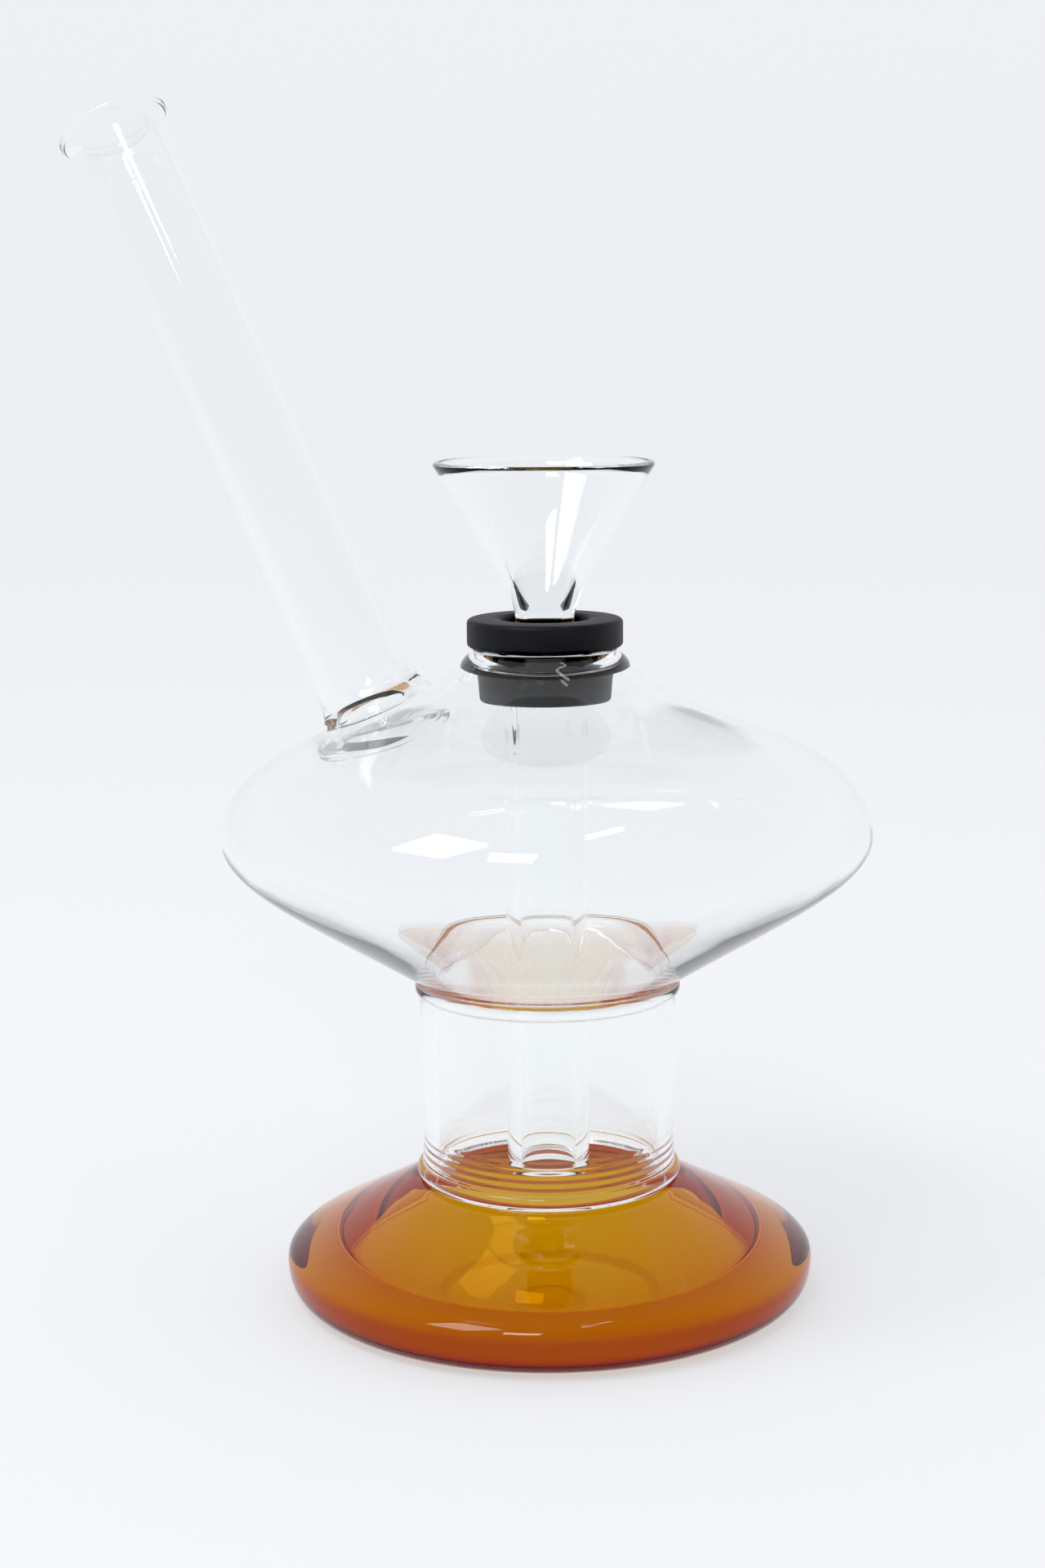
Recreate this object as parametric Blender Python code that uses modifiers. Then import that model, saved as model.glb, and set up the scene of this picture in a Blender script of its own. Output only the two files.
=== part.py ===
"""Small water pipe of flame-worked glass, in metres, +Z up.

The middle of the foot's underside is at the origin and the vessel's axis is +Z. The mouthpiece
leans up and away toward -X and +Y. The bowl and its downstem are one glass slide, held in a
rubber grommet in the collar, and they lift straight up out of it.
"""

import math

import bpy
from mathutils import Vector

# Driving dimensions.
SEAM_GAP = 0.0003       # between two sections of glass that the flame has joined
RUBBER_GAP = 0.0003     # between rubber and glass
STEPS = 48              # facets round a wide piece
NARROW_STEPS = 32       # facets round the collar, the slide and the mouthpiece

FOOT_R = 0.0388         # widest radius of the amber foot
FOOT_FLAT_R = 0.0325    # flat ring and floor that it rests on
FOOT_WIDEST_Z = 0.0056  # height of the widest part
FOOT_H = 0.0174         # underside to the seam under the neck
FOOT_TOP_R = 0.0194
FOOT_FLOOR = 0.0046     # thickness of the solid floor
FOOT_WELL_R = 0.0302    # radius of the hollow at its floor, under a nearly straight cone

SEAM_H = 0.0019         # height of a seam ring
SEAM_PROUD = 0.0007     # how far a seam ring stands proud of the neck

NECK_R = 0.0188         # 38 mm tube, drawn slightly in
NECK_WALL = 0.0024
NECK_LEN = 0.0250

CHAMBER_R = 0.0470      # saucer at its widest
CHAMBER_LOW_H = 0.0216  # seam under the saucer up to its widest part
CHAMBER_TOP_H = 0.0265  # widest part up to the top of the collar
CHAMBER_WALL = 0.0022
COLLAR_R = 0.0106       # outside of the collar at its top
LIP_H = 0.0036          # height of the thick ring at the top of the collar
LIP_HOLE_R = 0.0081     # hole in that ring

FLANGE_R = 0.0112       # grommet, above the lip
FLANGE_H = 0.0041
SKIRT_R = 0.0097        # grommet, below the lip
SKIRT_H = 0.0040
SKIRT_TAPER = 0.0003

STEM_R = 0.0060         # 12 mm downstem
STEM_BORE_R = 0.0040
STEM_END_Z = 0.0187     # lower end of the downstem
WAIST_R = 0.0042        # pinch between bowl and downstem
WAIST_BORE_R = 0.0026

BOWL_R = 0.01575        # outside of the bowl's rim
BOWL_H = 0.0224         # waist to rim
BOWL_WALL = 0.0019

MOUTH_TURN = math.radians(145)   # direction of the mouthpiece about +Z, from +X
MOUTH_LEAN = math.radians(30)    # from upright
MOUTH_AT_R = 0.0305              # where its axis meets the saucer, from the vessel's axis
MOUTH_R = 0.00756                # 15 mm tube
MOUTH_BORE_R = 0.00587
MOUTH_LEN = 0.0990               # saucer to the start of the flare
MOUTH_BEAD_H = 0.0052            # glass built up where the tube meets the saucer
MOUTH_BEAD_R = 0.0104
MOUTH_FLARE_H = 0.0034
MOUTH_FLARE_R = 0.00885


def clear_scene():
    for old in list(bpy.data.objects):
        bpy.data.objects.remove(old, do_unlink=True)
    for old in list(bpy.data.collections):
        bpy.data.collections.remove(old)


def new_collection(name):
    made = bpy.data.collections.new(name)
    bpy.context.scene.collection.children.link(made)
    return made


def material(name, colour, roughness, alpha=1.0, transmission=0.0):
    made = bpy.data.materials.new(name)
    made.use_nodes = True
    shader = made.node_tree.nodes["Principled BSDF"]
    shader.inputs["Base Color"].default_value = (*colour, 1.0)
    shader.inputs["Roughness"].default_value = roughness
    shader.inputs["Metallic"].default_value = 0.0
    shader.inputs["IOR"].default_value = 1.47
    shader.inputs["Alpha"].default_value = alpha
    shader.inputs["Transmission Weight"].default_value = transmission
    made.diffuse_color = (*colour, alpha)
    return made


def clear_glass(name):
    return material(name, (0.86, 0.90, 0.93), 0.03, 0.35, 1.0)


def amber_glass(name):
    return material(name, (0.62, 0.27, 0.02), 0.04, 0.85, 0.6)


def black_rubber(name):
    return material(name, (0.018, 0.019, 0.022), 0.55)


def bezier(start, pull_start, pull_end, end, count):
    """Points of one cubic curve, both ends included."""
    points = []
    for index in range(count + 1):
        t = index / count
        s = 1.0 - t
        weights = (s * s * s, 3 * s * s * t, 3 * s * t * t, t * t * t)
        ends = (start, pull_start, pull_end, end)
        points.append(tuple(sum(w * p[k] for w, p in zip(weights, ends)) for k in range(2)))
    return points


def inset(points, depth):
    """The same open line moved to its left by depth."""
    moved = []
    for index, point in enumerate(points):
        before = points[max(index - 1, 0)]
        after = points[min(index + 1, len(points) - 1)]
        run = Vector((after[0] - before[0], after[1] - before[1])).normalized()
        moved.append((point[0] - run.y * depth, point[1] + run.x * depth))
    return moved


def below(points, height):
    """The part of a rising line under a height, ending exactly on it."""
    kept = [point for point in points if point[1] < height]
    low = kept[-1]
    high = points[len(kept)]
    share = (height - low[1]) / (high[1] - low[1])
    return kept + [(low[0] + share * (high[0] - low[0]), height)]


def above(points, height):
    """The part of a rising line over a height, starting exactly on it."""
    kept = [point for point in points if point[1] > height]
    high = kept[0]
    low = points[len(points) - len(kept) - 1]
    share = (height - low[1]) / (high[1] - low[1])
    return [(low[0] + share * (high[0] - low[0]), height)] + kept


def corner(centre, radius, first, last, count):
    """Points of an arc about centre, from one angle to another in degrees."""
    points = []
    for index in range(count + 1):
        angle = math.radians(first + (last - first) * index / count)
        points.append((centre[0] + radius * math.cos(angle), centre[1] + radius * math.sin(angle)))
    return points


def turned(name, outline, look, home, closed=True, steps=STEPS):
    """A piece turned about +Z. The outline runs down its outer side and up its bore."""
    mesh = bpy.data.meshes.new(name)
    edges = [(index, index + 1) for index in range(len(outline) - 1)]
    if closed:
        edges.append((len(outline) - 1, 0))
    mesh.from_pydata([(r, 0.0, z) for r, z in outline], edges, [])
    made = bpy.data.objects.new(name, mesh)
    home.objects.link(made)
    screw = made.modifiers.new("Turn", "SCREW")
    screw.axis = "Z"
    screw.angle = math.tau
    screw.steps = steps
    screw.render_steps = steps
    screw.use_merge_vertices = True
    screw.merge_threshold = 0.00001
    if look is not None:
        mesh.materials.append(look)
    return made


def helper(name, outline, closed=True):
    made = turned(name, outline, None, cutters, closed)
    made.hide_render = True
    made.display_type = "WIRE"
    return made


def cut(target, cutter, name):
    step = target.modifiers.new(name, "BOOLEAN")
    step.operation = "DIFFERENCE"
    step.solver = "EXACT"
    step.object = cutter


def along_mouthpiece(made):
    made.location = mouth_at
    made.rotation_euler = (0.0, MOUTH_LEAN, MOUTH_TURN)


clear_scene()
vessel = new_collection("glass_water_pipe")
cutters = new_collection("cutters")

# Amber foot: solid floor, thick round edge, hollow that opens into the neck.
neck_bore_r = NECK_R - NECK_WALL
foot_upper = bezier(
    (FOOT_TOP_R, FOOT_H),
    (FOOT_TOP_R + 0.73 * (FOOT_R - FOOT_TOP_R), FOOT_H - 0.69 * (FOOT_H - FOOT_WIDEST_Z)),
    (FOOT_R, FOOT_WIDEST_Z + 0.25 * (FOOT_H - FOOT_WIDEST_Z)),
    (FOOT_R, FOOT_WIDEST_Z),
    7,
)
foot_lower = bezier(
    (FOOT_R, FOOT_WIDEST_Z),
    (FOOT_R, 0.3 * FOOT_WIDEST_Z),
    (FOOT_FLAT_R + 0.7 * (FOOT_R - FOOT_FLAT_R), 0.0),
    (FOOT_FLAT_R, 0.0),
    4,
)
well_edge = (FOOT_WELL_R - 0.0009, FOOT_FLOOR + 0.0015)
well_top = (neck_bore_r + 0.0019, FOOT_H - 0.0024)
foot_well = bezier(
    (FOOT_WELL_R - 0.0026, FOOT_FLOOR),
    (FOOT_WELL_R - 0.0006, FOOT_FLOOR),
    (FOOT_WELL_R + 0.0002, FOOT_FLOOR + 0.0003),
    well_edge,
    3,
)
foot_well += bezier(
    well_edge,
    (well_edge[0] - 0.0037, well_edge[1] + 0.0035),
    (well_top[0] + 0.0036, well_top[1] - 0.0029),
    well_top,
    5,
)[1:]
foot_well += [(neck_bore_r + 0.0003, FOOT_H - 0.0011), (neck_bore_r, FOOT_H)]
turned(
    "base_foot",
    [(0.0, FOOT_FLOOR)] + foot_well + foot_upper + foot_lower[1:] + [(0.0, 0.0)],
    amber_glass("amber_glass"),
    vessel,
    closed=False,
)


def seam_ring(name, low):
    """A ring of glass gathered at a join, round on the outside."""
    middle = low + SEAM_H / 2
    bulge = NECK_R - 0.0001
    outer = bezier(
        (bulge, low + SEAM_H),
        (bulge + 1.33 * SEAM_PROUD, low + 0.8 * SEAM_H),
        (bulge + 1.33 * SEAM_PROUD, low + 0.2 * SEAM_H),
        (bulge, low),
        4,
    )
    bore = [(neck_bore_r, low), (neck_bore_r - 0.0002, middle), (neck_bore_r, low + SEAM_H)]
    return turned(name, outer + bore, clear_glass("clear_" + name), vessel)


foot_seam_z = FOOT_H + SEAM_GAP
seam_ring("foot_seam_ring", foot_seam_z)

neck_low = foot_seam_z + SEAM_H + SEAM_GAP
neck_high = neck_low + NECK_LEN
turned(
    "neck_tube",
    [
        (NECK_R, neck_high),
        (NECK_R - 0.0002, neck_low + 0.5 * NECK_LEN),
        (NECK_R - 0.0004, neck_low + 0.2 * NECK_LEN),
        (NECK_R, neck_low),
        (neck_bore_r, neck_low),
        (neck_bore_r - 0.0002, neck_low + 0.3 * NECK_LEN),
        (neck_bore_r, neck_high),
    ],
    clear_glass("clear_neck_tube"),
    vessel,
)

chamber_seam_z = neck_high + SEAM_GAP
seam_ring("chamber_seam_ring", chamber_seam_z)

# Saucer: one line for its outside, from the lower seam up to the top of the collar.
chamber_low = chamber_seam_z + SEAM_H + SEAM_GAP
chamber_wide = chamber_low + CHAMBER_LOW_H
collar_top = chamber_wide + CHAMBER_TOP_H
low_r = NECK_R + 0.0009
shoulder = (0.702 * CHAMBER_R, chamber_wide + 0.513 * CHAMBER_TOP_H)
saucer_low = bezier(
    (low_r, chamber_low),
    (low_r + 0.610 * (CHAMBER_R - low_r), chamber_low + 0.555 * CHAMBER_LOW_H),
    (CHAMBER_R, chamber_low + 0.745 * CHAMBER_LOW_H),
    (CHAMBER_R, chamber_wide),
    6,
)
saucer_shoulder = bezier(
    (CHAMBER_R, chamber_wide),
    (CHAMBER_R, chamber_wide + 0.226 * CHAMBER_TOP_H),
    (shoulder[0] + 0.181 * CHAMBER_R, shoulder[1] - 0.118 * CHAMBER_TOP_H),
    shoulder,
    6,
)
saucer_collar = bezier(
    shoulder,
    (shoulder[0] - 0.490 * (shoulder[0] - COLLAR_R), shoulder[1] + 0.318 * (collar_top - shoulder[1])),
    (shoulder[0] - 0.785 * (shoulder[0] - COLLAR_R), shoulder[1] + 0.512 * (collar_top - shoulder[1])),
    (COLLAR_R, collar_top),
    9,
)
saucer_outside = saucer_low + saucer_shoulder[1:] + saucer_collar[1:]
lip_low = collar_top - LIP_H
chamber_top = lip_low - SEAM_GAP
saucer_inside = inset(saucer_outside, CHAMBER_WALL)
saucer_inside = [point for point in saucer_inside if point[0] > neck_bore_r + 0.0016 or point[1] > chamber_wide]
outer_wall = below(saucer_outside, chamber_top)
inner_wall = [(neck_bore_r, chamber_low), (neck_bore_r + 0.0003, chamber_low + 0.0011)]
inner_wall += below(saucer_inside, chamber_top)
chamber = turned(
    "saucer_chamber",
    list(reversed(outer_wall)) + inner_wall,
    clear_glass("clear_saucer_chamber"),
    vessel,
)

# Thick ring that finishes the collar and holds the grommet by its groove.
lip_outside = [point for point in above(saucer_outside, lip_low) if point[1] < collar_top - 0.0007]
lip_round = 0.0009
turned(
    "collar_lip",
    [(COLLAR_R - 0.0006, collar_top)]
    + list(reversed(lip_outside))
    + [(LIP_HOLE_R + lip_round, lip_low)]
    + corner((LIP_HOLE_R + lip_round, lip_low + lip_round), lip_round, 270, 180, 2)[1:]
    + corner((LIP_HOLE_R + lip_round, collar_top - lip_round), lip_round, 180, 90, 2),
    clear_glass("clear_collar_lip"),
    vessel,
    steps=NARROW_STEPS,
)

# Grommet: flange on the lip, groove through it, skirt under it.
flange_low = collar_top + RUBBER_GAP
flange_top = flange_low + FLANGE_H
skirt_top = lip_low - RUBBER_GAP
skirt_low = skirt_top - SKIRT_H
groove_r = LIP_HOLE_R - RUBBER_GAP
hole_r = STEM_R + RUBBER_GAP
edge = 0.0007
turned(
    "rubber_grommet",
    [(hole_r + 0.0004, flange_top)]
    + corner((FLANGE_R - edge, flange_top - edge), edge, 90, 0, 3)
    + corner((FLANGE_R - edge, flange_low + edge), edge, 0, -90, 2)
    + [(groove_r, flange_low), (groove_r, skirt_top)]
    + corner((SKIRT_R - 0.0003, skirt_top - 0.0003), 0.0003, 90, 0, 2)
    + corner((SKIRT_R - SKIRT_TAPER - edge, skirt_low + edge), edge, 0, -90, 2)
    + [(hole_r, skirt_low), (hole_r, flange_top - 0.0005)],
    black_rubber("black_rubber"),
    vessel,
    steps=NARROW_STEPS,
)

# Slide: downstem with a pinched top, and the bowl above the pinch.
waist_z = flange_top - 0.0002
stem_top = waist_z - SEAM_GAP / 2
bowl_low = waist_z + SEAM_GAP / 2
shoulder_top = bezier(
    (WAIST_R, stem_top),
    (WAIST_R, stem_top - 0.0016),
    (STEM_R, stem_top - 0.0022),
    (STEM_R, stem_top - 0.0042),
    5,
)
tip = 0.0009
stem_tip = corner((STEM_R - tip, STEM_END_Z + tip), tip, 0, -90, 3)
stem_tip += corner((STEM_BORE_R + tip, STEM_END_Z + tip), tip, -90, -180, 2)
turned(
    "downstem_tube",
    shoulder_top
    + stem_tip
    + [
        (STEM_BORE_R, stem_top - 0.0060),
        (WAIST_BORE_R + 0.0006, stem_top - 0.0030),
        (WAIST_BORE_R, stem_top - 0.0012),
        (WAIST_BORE_R, stem_top),
    ],
    clear_glass("clear_downstem_tube"),
    vessel,
    steps=NARROW_STEPS,
)

bowl_top = bowl_low + BOWL_H
knee = (0.36 * BOWL_R, bowl_low + 0.195 * BOWL_H)
bowl_side = bezier(
    (WAIST_R, bowl_low),
    (WAIST_R, bowl_low + 0.07 * BOWL_H),
    (knee[0] - 0.04 * BOWL_R, knee[1] - 0.05 * BOWL_H),
    knee,
    4,
) + bezier(
    knee,
    (knee[0] + 0.20 * BOWL_R, knee[1] + 0.26 * BOWL_H),
    (BOWL_R - 0.23 * BOWL_R, bowl_top - 0.31 * BOWL_H),
    (BOWL_R, bowl_top - 0.0009),
    5,
)[1:]
bowl_inside = [(max(r, WAIST_BORE_R), z) for r, z in inset(bowl_side, BOWL_WALL)[2:-1]]
rim = corner((BOWL_R - 0.0009, bowl_top - 0.0009), 0.0009, 140, 0, 4)
turned(
    "bowl_cone",
    rim + list(reversed(bowl_side[:-1])) + [(WAIST_BORE_R, bowl_low)] + bowl_inside,
    clear_glass("clear_bowl_cone"),
    vessel,
    steps=NARROW_STEPS,
)

# Mouthpiece: built-up bead on the saucer, straight tube, flared end.
on_saucer = [point for point in saucer_outside if point[1] > chamber_wide]
outer = [point for point in on_saucer if point[0] >= MOUTH_AT_R][-1]
inner = [point for point in on_saucer if point[0] < MOUTH_AT_R][0]
share = (MOUTH_AT_R - outer[0]) / (inner[0] - outer[0])
mouth_at = Vector(
    (
        MOUTH_AT_R * math.cos(MOUTH_TURN),
        MOUTH_AT_R * math.sin(MOUTH_TURN),
        outer[1] + share * (inner[1] - outer[1]),
    )
)
bead_top = MOUTH_BEAD_H
bead_side = bezier(
    (MOUTH_R, bead_top),
    (MOUTH_R + 0.0001, 0.45 * bead_top),
    (MOUTH_R + 0.0009, 0.12 * bead_top),
    (MOUTH_BEAD_R, -0.0008),
    5,
)
bead = turned(
    "mouthpiece_bead",
    bead_side + [(MOUTH_BEAD_R, -0.0060), (MOUTH_BORE_R, -0.0060), (MOUTH_BORE_R, bead_top)],
    clear_glass("clear_mouthpiece_bead"),
    vessel,
    steps=NARROW_STEPS,
)
along_mouthpiece(bead)
grown = inset(saucer_outside, -SEAM_GAP)
solid_saucer = helper(
    "saucer_without_hollow",
    [(0.0, collar_top)] + [(COLLAR_R, collar_top)] + list(reversed(grown[1:-1])) + [(0.0, grown[1][1])],
    closed=False,
)
cut(bead, solid_saucer, "Sit on saucer")
bore_cutter = helper(
    "mouthpiece_bore",
    [(0.0, 0.0100), (MOUTH_BORE_R, 0.0100), (MOUTH_BORE_R, -0.0120), (0.0, -0.0120)],
    closed=False,
)
along_mouthpiece(bore_cutter)
cut(chamber, bore_cutter, "Mouthpiece hole")

tube_low = bead_top + SEAM_GAP
tube_high = MOUTH_LEN - SEAM_GAP
mouthpiece = turned(
    "mouthpiece_tube",
    [(MOUTH_R, tube_high), (MOUTH_R, tube_low), (MOUTH_BORE_R, tube_low), (MOUTH_BORE_R, tube_high)],
    clear_glass("clear_mouthpiece_tube"),
    vessel,
    steps=NARROW_STEPS,
)
along_mouthpiece(mouthpiece)

flare_top = MOUTH_LEN + MOUTH_FLARE_H
flare_round = 0.0007
flare_outside = bezier(
    (MOUTH_FLARE_R, flare_top - flare_round),
    (MOUTH_FLARE_R, flare_top - 0.45 * MOUTH_FLARE_H),
    (MOUTH_R, MOUTH_LEN + 0.35 * MOUTH_FLARE_H),
    (MOUTH_R, MOUTH_LEN),
    4,
)
flare_bore = bezier(
    (MOUTH_BORE_R, MOUTH_LEN),
    (MOUTH_BORE_R, MOUTH_LEN + 0.40 * MOUTH_FLARE_H),
    (MOUTH_FLARE_R - 0.0019, flare_top - 0.35 * MOUTH_FLARE_H),
    (MOUTH_FLARE_R - 0.0015, flare_top - flare_round),
    3,
)
flare = turned(
    "mouthpiece_flare",
    corner((MOUTH_FLARE_R - flare_round, flare_top - flare_round), flare_round, 180, 0, 4)
    + flare_outside[1:]
    + flare_bore,
    clear_glass("clear_mouthpiece_flare"),
    vessel,
    steps=NARROW_STEPS,
)
along_mouthpiece(flare)

for made in vessel.objects:
    made.modifiers["Turn"].use_smooth_shade = True
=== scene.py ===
"""Looks of a small flame-worked glass water pipe.

Every outline is in millimetres, as (distance from the axis, height). The vessel, the grommet and
the slide are turned about +Z, the mouthpiece about its own leaning axis.
"""

import math

import bpy
from mathutils import Matrix, Vector


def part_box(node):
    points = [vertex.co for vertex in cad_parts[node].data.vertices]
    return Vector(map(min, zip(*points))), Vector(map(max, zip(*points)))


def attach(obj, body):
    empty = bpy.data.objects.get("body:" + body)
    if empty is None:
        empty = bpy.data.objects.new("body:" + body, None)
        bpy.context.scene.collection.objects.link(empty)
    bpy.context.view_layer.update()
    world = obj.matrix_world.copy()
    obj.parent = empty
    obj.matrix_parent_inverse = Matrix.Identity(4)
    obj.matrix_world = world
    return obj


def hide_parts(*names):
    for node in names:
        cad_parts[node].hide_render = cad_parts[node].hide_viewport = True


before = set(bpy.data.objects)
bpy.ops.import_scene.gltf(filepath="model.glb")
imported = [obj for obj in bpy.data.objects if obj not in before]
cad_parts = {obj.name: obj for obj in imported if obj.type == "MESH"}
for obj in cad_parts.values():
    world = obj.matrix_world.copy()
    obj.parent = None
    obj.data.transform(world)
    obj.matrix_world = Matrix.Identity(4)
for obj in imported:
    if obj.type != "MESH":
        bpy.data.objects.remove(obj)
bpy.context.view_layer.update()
MM = 0.001


# ---------------------------------------------------------------- sizes taken from the parts
def reach(node):
    """Outer radius, lowest and highest point of an upright turned part, in millimetres."""
    low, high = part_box(node)
    return high.x / MM, low.z / MM, high.z / MM


def middle(low_node, high_node):
    """Height halfway between the top of one part and the bottom of the next."""
    return (reach(low_node)[2] + reach(high_node)[1]) / 2


foot_r, foot_low, foot_high = reach("base_foot")
neck_r = reach("neck_tube")[0]
ring_r = reach("foot_seam_ring")[0]
saucer_r, saucer_low = reach("saucer_chamber")[:2]
lip_top = reach("collar_lip")[2]
flange_r, skirt_low, flange_top = reach("rubber_grommet")
stem_r, stem_low = reach("downstem_tube")[:2]
bowl_r, bowl_low, bowl_high = reach("bowl_cone")

foot_seam = middle("base_foot", "foot_seam_ring")
neck_start = middle("foot_seam_ring", "neck_tube")
neck_end = middle("neck_tube", "chamber_seam_ring")
saucer_start = middle("chamber_seam_ring", "saucer_chamber")
lip_start = middle("saucer_chamber", "collar_lip")
slide_seam = middle("downstem_tube", "bowl_cone")

# Walls and clearances, in millimetres.
NECK_WALL = 2.4
SAUCER_WALL = 2.2
BLOWN_WALL = 1.05
SLIDING_GAP = 0.3
neck_bore = neck_r - NECK_WALL
seam_r = neck_r - 0.1


# ---------------------------------------------------------------- outlines
def sweep(start, pull_start, pull_end, end, count):
    """Points of one smooth curve from start to end, leaving and arriving along its two pulls."""
    line = []
    for index in range(count + 1):
        t = index / count
        s = 1 - t
        weights = (s**3, 3 * s * s * t, 3 * s * t * t, t**3)
        knots = (start, pull_start, pull_end, end)
        line.append(tuple(sum(w * p[k] for w, p in zip(weights, knots)) for k in range(2)))
    return line


def arc(centre, radius, first, last, count):
    """Points of an arc, between two angles in degrees."""
    line = []
    for index in range(count + 1):
        angle = math.radians(first + (last - first) * index / count)
        line.append((centre[0] + radius * math.cos(angle), centre[1] + radius * math.sin(angle)))
    return line


def beside(line, depth):
    """The same line moved to its left by depth, as the inside of a wall."""
    moved = []
    for index, point in enumerate(line):
        before = line[max(index - 1, 0)]
        after = line[min(index + 1, len(line) - 1)]
        run = Vector((after[0] - before[0], after[1] - before[1])).normalized()
        moved.append((point[0] - run.y * depth, point[1] + run.x * depth))
    return moved


def cut_at(line, height):
    """The part of a rising line under a height, ending on it."""
    kept = [point for point in line if point[1] < height]
    low = kept[-1]
    high = line[len(kept)]
    share = (height - low[1]) / (high[1] - low[1])
    return kept + [(low[0] + share * (high[0] - low[0]), height)]


def cut_from(line, height):
    """The part of a rising line over a height, starting on it."""
    kept = [point for point in line if point[1] > height]
    high = kept[0]
    low = line[len(line) - len(kept) - 1]
    share = (height - low[1]) / (high[1] - low[1])
    return [(low[0] + share * (high[0] - low[0]), height)] + kept


# ---------------------------------------------------------------- modelling
def select_only(piece):
    bpy.ops.object.select_all(action="DESELECT")
    piece.select_set(True)
    bpy.context.view_layer.objects.active = piece


def turn(name, outline, rounds=128, ring=True):
    """Draws an outline by extruding one corner along it, and spins it about +Z."""
    bpy.ops.object.select_all(action="DESELECT")
    bpy.ops.mesh.primitive_plane_add(size=MM, location=(0, 0, 0))
    piece = bpy.context.object
    piece.name = name
    bpy.ops.object.mode_set(mode="EDIT")
    bpy.ops.mesh.select_all(action="SELECT")
    bpy.ops.mesh.merge(type="CENTER")
    line = outline + outline[:1] if ring else outline
    bpy.ops.transform.translate(value=(line[0][0] * MM, 0, line[0][1] * MM))
    for before, after in zip(line, line[1:]):
        step = ((after[0] - before[0]) * MM, 0, (after[1] - before[1]) * MM)
        bpy.ops.mesh.extrude_region_move(TRANSFORM_OT_translate={"value": step})
    bpy.ops.mesh.select_all(action="SELECT")
    bpy.ops.mesh.spin(steps=rounds, angle=math.tau, center=(0, 0, 0), axis=(0, 0, 1))
    bpy.ops.mesh.select_all(action="SELECT")
    bpy.ops.mesh.remove_doubles(threshold=0.002 * MM)
    bpy.ops.mesh.normals_make_consistent(inside=False)
    bpy.ops.object.mode_set(mode="OBJECT")
    return piece


def place(piece, where):
    """Puts a piece where it belongs, in its mesh, so that its object stays at the origin."""
    piece.data.transform(where)
    piece.data.update()


def smooth(piece, degrees=38):
    select_only(piece)
    bpy.ops.object.shade_smooth_by_angle(angle=math.radians(degrees))


def boolean(piece, other, operation):
    step = piece.modifiers.new("Weld", "BOOLEAN")
    step.operation = operation
    step.solver = "EXACT"
    step.object = other
    select_only(piece)
    bpy.ops.object.modifier_apply(modifier=step.name)
    bpy.data.objects.remove(other, do_unlink=True)


def finish_piece(piece, look, body, nodes, seams=(), degrees=38):
    """Gives a piece its glass, marks its fused ends, and lets it ride on its body.

    seams are (point, normal) of the flat ends where the flame has joined it to its neighbour.
    """
    piece.data.materials.clear()
    piece.data.materials.append(look)
    if seams:
        piece.data.materials.append(fused)
        for point, normal in seams:
            for face in piece.data.polygons:
                near = abs((face.center - Vector(point)).dot(normal)) < 0.01 * MM
                if near and abs(face.normal.dot(normal)) > 0.999:
                    face.material_index = 1
    smooth(piece, degrees)
    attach(piece, body)
    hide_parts(*nodes)
    return piece


# ---------------------------------------------------------------- materials
def linear(code):
    """An sRGB hex colour as linear light, with alpha 1."""
    shares = [int(code[i : i + 2], 16) / 255 for i in (0, 2, 4)]
    return [c / 12.92 if c <= 0.04045 else ((c + 0.055) / 1.055) ** 2.4 for c in shares] + [1.0]


def add(tree, kind, links, **settings):
    """One node with its settings, and each of its sockets given a value or a link."""
    node = tree.nodes.new(kind)
    for name, value in settings.items():
        setattr(node, name, value)
    for socket, source in links.items():
        if isinstance(source, bpy.types.NodeSocket):
            tree.links.new(source, node.inputs[socket])
        else:
            node.inputs[socket].default_value = source
    return node


def new_material(name):
    look = bpy.data.materials.new(name)
    look.use_nodes = True
    look.node_tree.nodes.clear()
    return look, look.node_tree


def flame_ripple(tree, wave_mm, height_mm, stretch=(1, 1, 1)):
    """Slow unevenness that a flame and gravity leave in a glass wall, as a bumped normal."""
    place_on = add(tree, "ShaderNodeTexCoord", {})
    pulled = add(tree, "ShaderNodeMapping", {"Vector": place_on.outputs["Object"], "Scale": stretch})
    waves = add(
        tree,
        "ShaderNodeTexNoise",
        {"Vector": pulled.outputs[0], "Scale": 1 / (wave_mm * MM), "Detail": 1.0, "Roughness": 0.4},
    )
    return add(
        tree,
        "ShaderNodeBump",
        {"Height": waves.outputs["Fac"], "Strength": 1.0, "Distance": height_mm * MM},
    )


def borosilicate(name, wave_mm, height_mm, stretch=(1, 1, 1)):
    """Clear borosilicate, flame-worked: water-clear, and seen by its edges, thick
    places and slightly rippled reflections."""
    look, tree = new_material(name)
    ripple = flame_ripple(tree, wave_mm, height_mm, stretch)
    glass = add(
        tree,
        "ShaderNodeBsdfPrincipled",
        {
            "Base Color": linear("FEFFFF"),
            "Roughness": 0.0,
            "IOR": 1.473,
            "Transmission Weight": 1.0,
            "Normal": ripple.outputs[0],
        },
    )
    add(tree, "ShaderNodeOutputMaterial", {"Surface": glass.outputs[0]})
    return look


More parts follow.
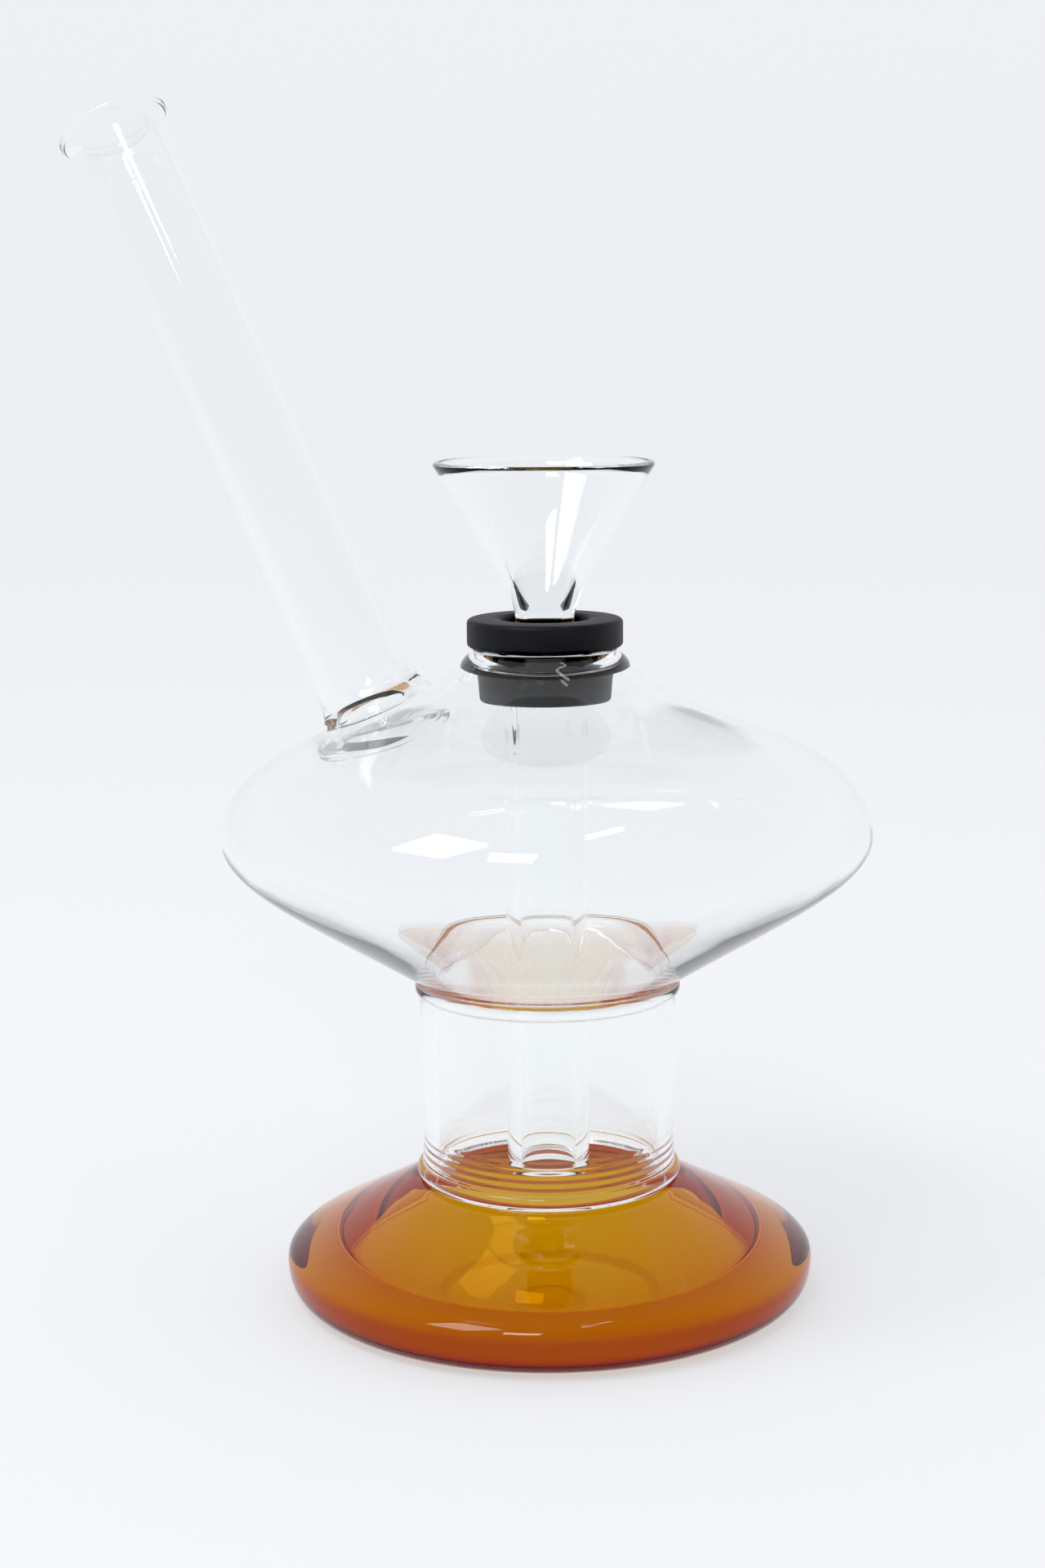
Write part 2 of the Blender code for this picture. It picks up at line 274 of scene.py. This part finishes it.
def amber():
    """Amber borosilicate, solid colour all through: gold where it is thin and brown where
    light has come a long way through it."""
    look, tree = new_material("amber_borosilicate")
    ripple = flame_ripple(tree, 2.6, 0.045, (0.1, 0.1, 1))
    glass = add(
        tree,
        "ShaderNodeBsdfPrincipled",
        {
            "Base Color": linear("FFFFFF"),
            "Roughness": 0.0,
            "IOR": 1.473,
            "Transmission Weight": 1.0,
            "Normal": ripple.outputs[0],
        },
    )
    depth = add(tree, "ShaderNodeVolumeAbsorption", {"Color": (0.957, 0.83, 0.0, 1), "Density": 640.0})
    add(
        tree,
        "ShaderNodeOutputMaterial",
        {"Surface": glass.outputs[0], "Volume": depth.outputs[0]},
    )
    return look


def fused_seam():
    """The place where two sections have melted into one: light goes straight through it."""
    look, tree = new_material("fused_seam")
    glass = add(
        tree,
        "ShaderNodeBsdfPrincipled",
        {"Base Color": linear("FFFFFF"), "Roughness": 0.0, "IOR": 1.0, "Alpha": 0.0},
    )
    add(tree, "ShaderNodeOutputMaterial", {"Surface": glass.outputs[0]})
    return look


def nitrile():
    """Black moulded rubber: matt, with a fine skin that greys a little where light skims it."""
    look, tree = new_material("black_moulded_rubber")
    place_on = add(tree, "ShaderNodeTexCoord", {})
    bloom = add(
        tree,
        "ShaderNodeTexNoise",
        {"Vector": place_on.outputs["Object"], "Scale": 1 / (4 * MM), "Detail": 5.0},
    )
    shade = add(tree, "ShaderNodeValToRGB", {"Fac": bloom.outputs["Fac"]})
    shade.color_ramp.elements[0].position = 0.35
    shade.color_ramp.elements[0].color = linear("0A0A0B")
    shade.color_ramp.elements[1].position = 0.75
    shade.color_ramp.elements[1].color = linear("121315")
    skin = add(
        tree,
        "ShaderNodeTexNoise",
        {"Vector": place_on.outputs["Object"], "Scale": 1 / (0.25 * MM), "Detail": 3.0},
    )
    grain = add(
        tree,
        "ShaderNodeBump",
        {"Height": skin.outputs["Fac"], "Strength": 0.5, "Distance": 0.02 * MM},
    )
    rubber = add(
        tree,
        "ShaderNodeBsdfPrincipled",
        {
            "Base Color": shade.outputs[0],
            "Roughness": 0.55,
            "IOR": 1.52,
            "Specular IOR Level": 0.5,
            "Sheen Weight": 0.02,
            "Sheen Roughness": 0.5,
            "Normal": grain.outputs[0],
        },
    )
    add(tree, "ShaderNodeOutputMaterial", {"Surface": rubber.outputs[0]})
    return look


fused = fused_seam()
vessel_glass = borosilicate("clear_borosilicate_vessel", 13, 0.02)
tube_glass = borosilicate("clear_borosilicate_drawn_tube", 9, 0.006, (1, 1, 0.15))
slide_glass = borosilicate("clear_borosilicate_slide", 9, 0.012)
foot_glass = amber()
rubber = nitrile()
up = Vector((0, 0, 1))


def level(height):
    """A flat fused end of an upright section, at a height in millimetres."""
    return (0, 0, height * MM), up


# ---------------------------------------------------------------- amber foot
FOOT_WIDEST = 0.322  # share of the foot's height
FOOT_ROUNDING = 6.3
FOOT_FLOOR = 4.6
FOOT_WALL = 8.6
widest = foot_low + FOOT_WIDEST * (foot_high - foot_low)
foot_upper = sweep(
    (ring_r, foot_seam),
    (ring_r + 0.73 * (foot_r - ring_r), foot_high - 0.69 * (foot_high - widest)),
    (foot_r, widest + 0.25 * (foot_high - widest)),
    (foot_r, widest),
    34,
)
flat_r = foot_r - FOOT_ROUNDING
foot_lower = sweep(
    (foot_r, widest),
    (foot_r, foot_low + 0.3 * (widest - foot_low)),
    (flat_r + 0.7 * (foot_r - flat_r), foot_low),
    (flat_r, foot_low),
    22,
)
floor_top = foot_low + FOOT_FLOOR
well_r = foot_r - FOOT_WALL
well_corner = (well_r - 0.9, floor_top + 1.5)
well_top = (neck_bore + 1.9, foot_high - 2.4)
well = [(well_r * share, floor_top) for share in (0.0, 0.3, 0.6)]
well += sweep(
    (well_r - 2.6, floor_top),
    (well_r - 0.6, floor_top),
    (well_r + 0.2, floor_top + 0.3),
    well_corner,
    14,
)
well += sweep(
    well_corner,
    (well_r - 4.6, floor_top + 5.0),
    (well_top[0] + 3.6, well_top[1] - 2.9),
    well_top,
    26,
)[1:]
well += sweep(
    well_top,
    (neck_bore + 0.7, foot_high - 1.4),
    (neck_bore, foot_seam - 0.9),
    (neck_bore, foot_seam),
    8,
)[1:]
underside = [(flat_r * share, foot_low) for share in (0.75, 0.5, 0.25, 0.0)]
foot = turn("amber_foot", well + foot_upper + foot_lower[1:] + underside, 160, ring=False)
finish_piece(foot, foot_glass, "vessel", ["base_foot"])


# ---------------------------------------------------------------- rings and neck
def turning_marks(line, start, pitch, depth, tall):
    """The same bore with shallow rings left by the turning, dying out over a height."""
    marked = []
    for r, z in line:
        left = max(0.0, 1 - (z - start) / tall)
        marked.append((r - depth * left * math.sin(math.pi * (z - start) / pitch) ** 2, z))
    return marked


def gathered_ring(name, low, high, opening, node):
    """A ring of glass gathered at a join, rounded outside. Its bore widens by opening at the top."""
    tall = high - low
    proud = seam_r + 1.33 * (ring_r - seam_r)
    outer = sweep(
        (seam_r, high), (proud, high - 0.2 * tall), (proud, low + 0.2 * tall), (seam_r, low), 14
    )
    inner = sweep(
        (neck_bore, low),
        (neck_bore, low + 0.35 * tall),
        (neck_bore + 0.3 * opening, high - 0.4 * tall),
        (neck_bore + opening, high),
        30,
    )
    if opening == 0.0:
        inner = turning_marks(inner, low, pitch=tall / 2, depth=0.16, tall=6.0)
    ring = turn(name, outer + inner)
    finish_piece(ring, vessel_glass, "vessel", [node], [level(low), level(high)])


SAUCER_OPENING = 0.3
gathered_ring("foot_ring", foot_seam, neck_start, 0.0, "foot_seam_ring")
gathered_ring("chamber_ring", neck_end, saucer_start, SAUCER_OPENING, "chamber_seam_ring")

waist = (neck_r - 0.25, neck_end - 13)
neck_outer = sweep((seam_r, neck_end), (neck_r, neck_end - 3), (neck_r, neck_end - 9), waist, 12)
neck_outer += sweep(
    waist,
    (neck_r - 0.5, neck_start + 8),
    (neck_r - 0.6, neck_start + 3),
    (seam_r, neck_start),
    14,
)[1:]
neck_inner = sweep(
    (neck_bore, neck_start),
    (neck_bore - 0.5, neck_start + 5),
    (neck_bore - 0.2, neck_end - 8),
    (neck_bore, neck_end),
    130,
)
neck_inner = turning_marks(neck_inner, neck_start, pitch=1.2, depth=0.14, tall=4.8)
neck = turn("neck", neck_outer + neck_inner)
ends = [level(neck_start), level(neck_end)]
finish_piece(neck, vessel_glass, "vessel", ["neck_tube"], ends)

# ---------------------------------------------------------------- saucer, with the weld bead
SAUCER_WIDEST = 21.6  # above its lower end
GATHER_EDGE = 40.0  # radius inside which the top wall thickens towards the collar
GATHER_REACH = 26.0
LOWER_GATHER = 0.3  # how much of the full wall is reached at the neck
saucer_widest = saucer_low + SAUCER_WIDEST
top_h = lip_top - saucer_widest
shoulder = (0.702 * saucer_r, saucer_widest + 0.513 * top_h)
lower_h = saucer_widest - saucer_start
under = sweep(
    (seam_r, saucer_start),
    (seam_r + 0.640 * (saucer_r - seam_r), saucer_start + 0.535 * lower_h),
    (saucer_r, saucer_start + 0.735 * lower_h),
    (saucer_r, saucer_widest),
    80,
)
over = sweep(
    (saucer_r, saucer_widest),
    (saucer_r, saucer_widest + 0.226 * top_h),
    (shoulder[0] + 0.181 * saucer_r, shoulder[1] - 0.118 * top_h),
    shoulder,
    30,
)
collar_r = flange_r - 0.6
collar_rise = lip_top - shoulder[1]
collar_in = shoulder[0] - collar_r
drawn_up = sweep(
    shoulder,
    (shoulder[0] - 0.490 * collar_in, shoulder[1] + 0.318 * collar_rise),
    (shoulder[0] - 0.785 * collar_in, shoulder[1] + 0.512 * collar_rise),
    (collar_r, lip_top),
    34,
)
saucer_outside = under + over[1:] + drawn_up[1:]
blown = []
for outer, inner in zip(saucer_outside, beside(saucer_outside, 1.0)):
    gathered = min(1.0, max(0.0, (GATHER_EDGE - outer[0]) / GATHER_REACH)) ** 2
    if outer[1] < saucer_widest:
        gathered = LOWER_GATHER * (saucer_r - outer[0]) / (saucer_r - neck_r)
    thick = BLOWN_WALL + (SAUCER_WALL - BLOWN_WALL) * gathered
    blown.append(tuple(outer[k] + thick * (inner[k] - outer[k]) for k in range(2)))
bore_top = (neck_bore + SAUCER_OPENING, saucer_start)
saucer_inside = [p for p in blown if p[0] > neck_bore + 1.6 or p[1] > saucer_widest]
saucer_inner = sweep(
    bore_top,
    (bore_top[0], bore_top[1] + 0.6),
    (saucer_inside[0][0] - 0.6, saucer_inside[0][1] - 0.35),
    saucer_inside[0],
    8,
)
saucer_inner += cut_at(saucer_inside, lip_start)[1:]
saucer_outer = list(reversed(cut_at(saucer_outside, lip_start)))
saucer = turn("saucer", saucer_outer + saucer_inner, 160)

# The mouthpiece's sizes run along its own axis, from where that meets the saucer's outside.
MOUTH_TURN = math.radians(145)
MOUTH_LEAN = math.radians(30)
MOUTH_AT = 30.5
MOUTH_R = 7.56
MOUTH_BORE = 5.87
BEAD_R = MOUTH_R + 2.8
BEAD_SUNK = -1.6
BEAD_TOP = 5.35
HOLE_R = MOUTH_BORE + 6.5
TUBE_TOP = 98.85
FLARE_TOP = 102.4
FLARE_R = 8.85
on_saucer = [point for point in saucer_outside if point[1] > saucer_widest]
foot_of_tube = min(on_saucer, key=lambda point: abs(point[0] - MOUTH_AT))
mouth_at = Vector(
    (MOUTH_AT * math.cos(MOUTH_TURN), MOUTH_AT * math.sin(MOUTH_TURN), foot_of_tube[1])
)
mouth_place = (
    Matrix.Translation(mouth_at * MM)
    @ Matrix.Rotation(MOUTH_TURN, 4, "Z")
    @ Matrix.Rotation(MOUTH_LEAN, 4, "Y")
)
mouth_axis = (mouth_place.to_3x3() @ up).normalized()

bead_side = sweep(
    (MOUTH_R, BEAD_TOP), (MOUTH_R + 0.1, 2.4), (MOUTH_R + 0.9, 0.8), (BEAD_R, -0.8), 14
)
bead_line = [(0, BEAD_TOP)] + bead_side + [(BEAD_R, BEAD_SUNK), (0, BEAD_SUNK)]
bead = turn("bead", bead_line, 96, ring=False)
place(bead, mouth_place)
hole_side = sweep(
    (MOUTH_BORE, 1.6), (MOUTH_BORE, -1.2), (MOUTH_BORE + 0.9, -3.0), (HOLE_R, -5.4), 18
)
hole_line = [(0, BEAD_TOP + 1), (MOUTH_BORE, BEAD_TOP + 1)] + hole_side + [(HOLE_R, -9), (0, -9)]
hole = turn("hole", hole_line, 96, ring=False)
place(hole, mouth_place)
boolean(saucer, bead, "UNION")
boolean(saucer, hole, "DIFFERENCE")


def leaning(height):
    """A flat fused end of the mouthpiece, at a height along its axis in millimetres."""
    return mouth_place @ Vector((0, 0, height * MM)), mouth_axis


ends = [level(saucer_start), level(lip_start), leaning(BEAD_TOP)]
both = ["saucer_chamber", "mouthpiece_bead"]
finish_piece(saucer, vessel_glass, "vessel", both, ends)

# ---------------------------------------------------------------- collar lip
hole_r = 8.1
lip_round = 0.9
lip_edge = 0.6
lip_outside = [p for p in cut_from(saucer_outside, lip_start) if p[1] < lip_top - 0.7]
lip_line = (
    [(collar_r - lip_edge, lip_top)]
    + arc((collar_r - lip_edge, lip_top - lip_edge), lip_edge, 80, 30, 5)
    + list(reversed(lip_outside))
    + [(hole_r + 2.2, lip_start), (hole_r + lip_round, lip_start)]
    + arc((hole_r + lip_round, lip_start + lip_round), lip_round, 270, 180, 8)[1:]
    + arc((hole_r + lip_round, lip_top - lip_round), lip_round, 180, 90, 8)
)
lip = turn("collar_ring", lip_line)
finish_piece(lip, vessel_glass, "vessel", ["collar_lip"], [level(lip_start)])

# ---------------------------------------------------------------- mouthpiece
tube_heights = [BEAD_TOP + (TUBE_TOP - BEAD_TOP) * i / 12 for i in range(13)]
tube_line = [(MOUTH_R, z) for z in reversed(tube_heights)] + [(MOUTH_BORE, z) for z in tube_heights]
tube = turn("mouth_tube", tube_line, 112)
place(tube, mouth_place)
ends = [leaning(BEAD_TOP), leaning(TUBE_TOP)]
finish_piece(tube, tube_glass, "vessel", ["mouthpiece_tube"], ends)

edge = 0.7
flare_outside = sweep(
    (FLARE_R, FLARE_TOP - edge),
    (FLARE_R, FLARE_TOP - 1.5),
    (MOUTH_R, TUBE_TOP + 1.2),
    (MOUTH_R, TUBE_TOP),
    16,
)
flare_bore = sweep(
    (MOUTH_BORE, TUBE_TOP),
    (MOUTH_BORE, TUBE_TOP + 1.4),
    (FLARE_R - 1.9, FLARE_TOP - 1.2),
    (FLARE_R - 2 * edge, FLARE_TOP - edge),
    16,
)
flare_rim = arc((FLARE_R - edge, FLARE_TOP - edge), edge, 180, 0, 12)[1:]
flare = turn("mouth_flare", flare_rim + flare_outside[1:] + flare_bore, 112)
place(flare, mouth_place)
ends = [leaning(TUBE_TOP)]
finish_piece(flare, tube_glass, "vessel", ["mouthpiece_flare"], ends)

# ---------------------------------------------------------------- grommet
flange_low = lip_top + SLIDING_GAP
skirt_top = reach("collar_lip")[1] - SLIDING_GAP
groove_r = hole_r - SLIDING_GAP
stem_hole = stem_r + SLIDING_GAP
skirt_r = 9.7
skirt_taper = 0.3
skirt_edge = 0.35
soft = 0.7
nick = 0.2
groove = [
    (groove_r + nick, flange_low),
    (groove_r, flange_low - nick),
    (groove_r, skirt_top + nick),
    (groove_r + nick, skirt_top),
]
grommet_line = (
    [(stem_hole + 0.5, flange_top), (flange_r - 3.0, flange_top)]
    + arc((flange_r - soft, flange_top - soft), soft, 90, 0, 8)
    + arc((flange_r - soft, flange_low + soft), soft, 0, -90, 8)
    + groove
    + arc((skirt_r - skirt_edge, skirt_top - skirt_edge), skirt_edge, 90, 0, 5)
    + arc((skirt_r - skirt_taper - soft, skirt_low + soft), soft, 0, -90, 8)
    + [(stem_hole + 0.4, skirt_low), (stem_hole, skirt_low + 0.4), (stem_hole, flange_top - 0.5)]
)
grommet = turn("grommet", grommet_line)
finish_piece(grommet, rubber, "grommet", ["rubber_grommet"], degrees=50)

# ---------------------------------------------------------------- slide
waist_r = 4.2
waist_bore = 2.6
stem_bore = 4.0
tip = 0.9
shoulder_end = slide_seam - 4.2
stem_shoulder = sweep(
    (waist_r, slide_seam),
    (waist_r, slide_seam - 1.6),
    (stem_r, slide_seam - 2.2),
    (stem_r, shoulder_end),
    16,
)
bore_shoulder = sweep(
    (stem_bore, slide_seam - 6.5),
    (stem_bore, shoulder_end),
    (waist_bore, slide_seam - 3.4),
    (waist_bore, slide_seam),
    16,
)
side_step = (slide_seam - 5.5 - stem_low) / 14
bore_step = (slide_seam - 8 - stem_low) / 14
stem_line = (
    stem_shoulder
    + [(stem_r, shoulder_end - side_step * i) for i in range(1, 14)]
    + arc((stem_r - tip, stem_low + tip), tip, 0, -90, 8)
    + arc((stem_bore + tip, stem_low + tip), tip, -90, -180, 8)[1:]
    + [(stem_bore, stem_low + tip + bore_step * i) for i in range(1, 14)]
    + bore_shoulder
)
stem = turn("downstem", stem_line, 112)
seam = [level(slide_seam)]
finish_piece(stem, slide_glass, "slide", ["downstem_tube"], seam)

CUP_WALL = 1.9
CUP_THINNING = 0.8
rim_half = 0.55
cup_h = bowl_high - bowl_low
knee = (0.36 * bowl_r, bowl_low + 0.195 * cup_h)
cup_side = sweep(
    (waist_r, slide_seam),
    (waist_r, slide_seam + 1.4),
    (knee[0] - 0.62, knee[1] - 1.2),
    knee,
    12,
)
cup_side += sweep(
    knee,
    (knee[0] + 3.2, knee[1] + 5.9),
    (bowl_r - 3.7, bowl_high - 6.9),
    (bowl_r, bowl_high - rim_half),
    26,
)[1:]
cup_inside = []
for (side_r, side_z), (r, z) in zip(cup_side, beside(cup_side, 1.0)):
    share = min(1.0, max(0.0, (side_z - bowl_low) / cup_h))
    wall = CUP_WALL - CUP_THINNING * share**0.7
    cup_inside.append((max(side_r + (r - side_r) * wall, waist_bore), side_z + (z - side_z) * wall))
cup_rim = arc((bowl_r - rim_half, bowl_high - rim_half), rim_half, 150, 0, 12)
cup_outside = list(reversed(cup_side[:-1]))
bowl = turn("bowl", cup_rim + cup_outside + [(waist_bore, slide_seam)] + cup_inside[2:-1])
finish_piece(bowl, slide_glass, "slide", ["bowl_cone"], seam)

# ---------------------------------------------------------------- studio
SWEEP_FLAT = 1800
SWEEP_BEND = 900
floor = [(0, 0), (300, 0), (900, 0), (SWEEP_FLAT, 0)]
rising = arc((SWEEP_FLAT, SWEEP_BEND), SWEEP_BEND, -90, 0, 24)
backdrop = turn("studio_sweep", floor + rising, 96, ring=False)
# Pale paper, which glows a little, as if it were lit evenly from all round.
paper, tree = new_material("pale_paper_sweep")
coat = add(
    tree,
    "ShaderNodeBsdfPrincipled",
    {
        "Base Color": linear("B2B3B5"),
        "Roughness": 0.9,
        "Specular IOR Level": 0.1,
        "Emission Color": linear("F2F3F5"),
        "Emission Strength": 0.55,
    },
)
add(tree, "ShaderNodeOutputMaterial", {"Surface": coat.outputs[0]})
backdrop.data.materials.append(paper)
smooth(backdrop)

world = bpy.data.worlds.new("studio_light")
world.use_nodes = True
world.node_tree.nodes.clear()
heading = add(world.node_tree, "ShaderNodeTexCoord", {})
height = add(world.node_tree, "ShaderNodeSeparateXYZ", {"Vector": heading.outputs["Generated"]})
dome = add(world.node_tree, "ShaderNodeValToRGB", {"Fac": height.outputs["Z"]})
dome.color_ramp.elements[0].position = 0.35
dome.color_ramp.elements[0].color = linear("F2F3F6")
dome.color_ramp.elements[1].position = 0.75
dome.color_ramp.elements[1].color = linear("DCDDE0")
sky = add(world.node_tree, "ShaderNodeBackground", {"Color": dome.outputs[0], "Strength": 1.0})
add(world.node_tree, "ShaderNodeOutputWorld", {"Surface": sky.outputs[0]})


def softbox(name, place_at, wide, tall, power):
    """A soft rectangular lamp that faces the middle of the pipe. Lengths are in metres."""
    light = bpy.data.lights.new(name, "AREA")
    light.shape = "RECTANGLE"
    light.size = wide
    light.size_y = tall
    light.energy = power
    holder = bpy.data.objects.new(name, light)
    bpy.context.scene.collection.objects.link(holder)
    holder.location = place_at
    facing = Vector((0, 0, 0.07)) - Vector(place_at)
    holder.rotation_euler = facing.to_track_quat("-Z", "Y").to_euler()


softbox("left_softbox", (-0.417, -0.281, 0.814), wide=0.28, tall=0.36, power=1.4)
softbox("front_softbox", (-0.15, -0.55, 0.768), wide=0.20, tall=0.16, power=0.8)
softbox("right_strip", (0.19, -0.11, 0.94), wide=0.20, tall=0.03, power=0.1)

# ---------------------------------------------------------------- camera
camera = bpy.data.cameras.new("camera")
camera.lens = 61.98
camera.sensor_width = 36.0
camera.clip_start = 0.01
camera.clip_end = 20.0
eye = bpy.data.objects.new("camera", camera)
bpy.context.scene.collection.objects.link(eye)
yaw, pitch, roll = math.radians(-0.507), math.radians(10.009), math.radians(-0.506)
ahead = Vector((math.sin(yaw) * math.cos(pitch), math.cos(yaw) * math.cos(pitch), -math.sin(pitch)))
side = Vector((math.cos(yaw), -math.sin(yaw), 0))
top = side.cross(ahead)
facing = Matrix((side, top, -ahead)).transposed().to_4x4()
eye_at = Matrix.Translation((0.0, -0.384289, 0.143599))
eye.matrix_world = eye_at @ facing @ Matrix.Rotation(roll, 4, "Z")

scene = bpy.context.scene
scene.camera = eye
scene.world = world
scene.view_settings.view_transform = "Standard"
scene.view_settings.use_curve_mapping = True
scene.view_settings.curve_mapping.black_level = (0.026, 0.026, 0.026)
scene.view_settings.curve_mapping.update()
scene.cycles.max_bounces = 40
scene.cycles.transmission_bounces = 40
scene.cycles.glossy_bounces = 16
scene.cycles.diffuse_bounces = 4
scene.cycles.transparent_max_bounces = 40
